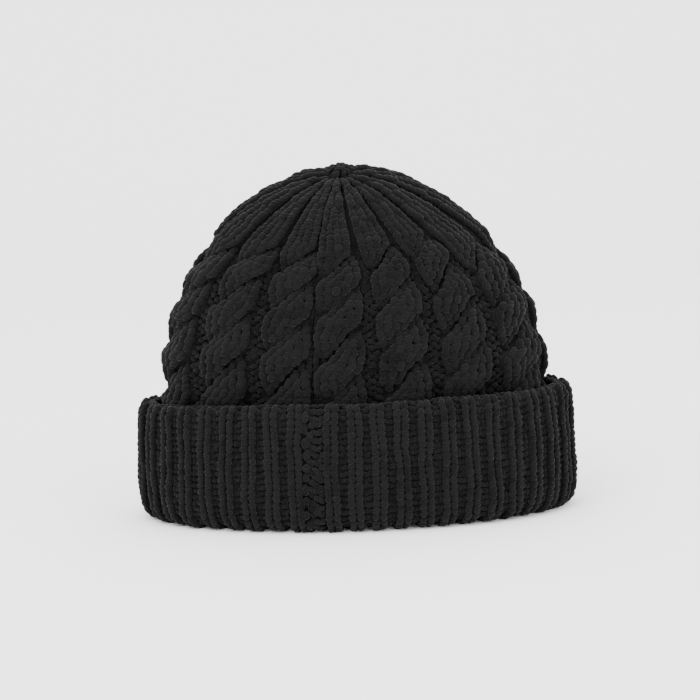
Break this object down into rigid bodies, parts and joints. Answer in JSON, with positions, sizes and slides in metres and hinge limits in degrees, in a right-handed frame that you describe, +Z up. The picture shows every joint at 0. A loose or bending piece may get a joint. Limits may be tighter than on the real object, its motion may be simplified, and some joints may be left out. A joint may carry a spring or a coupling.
{
  "type": "knit beanie",
  "caption": "Cable-knit winter hat with a deep turned-up ribbed cuff, a gathered crown and a sewn back seam.",
  "frame": {"origin": "middle of the underside of the cuff's fold, where the hat stands", "axes": "+Z up through the crown, X along the flattened hat's width, back seam on the -Y side"},
  "size_m": [0.22, 0.112, 0.174],
  "materials": {
    "cable_knit_wool": "matt, slightly fuzzy chunky yarn",
    "rib_knit_wool": "matt, slightly fuzzy chunky yarn",
    "seam_yarn": "matt yarn, pulled tight",
    "label_cloth": "smooth woven ribbon",
    "label_thread": "thin polyester thread"
  },
  "bodies": {
    "hat": {"crown_shell": "cable_knit_wool", "inner_band": "rib_knit_wool", "crown_back_seam": "seam_yarn", "crown_gather_yarn": "seam_yarn", "crown_knob": "cable_knit_wool", "tie_off_knot": "seam_yarn", "care_label": "label_cloth", "label_stitches": "label_thread"},
    "cuff": {"turn_up_cuff": "rib_knit_wool", "cuff_cast_on_edge": "rib_knit_wool", "cuff_back_seam": "seam_yarn"}
  },
  "joints": [
    {"name": "cuff_turn_down", "type": "slide", "parent": "hat", "child": "cuff", "axis": [0, 0, -1], "range_m": [0, 0.054]}
  ]
}
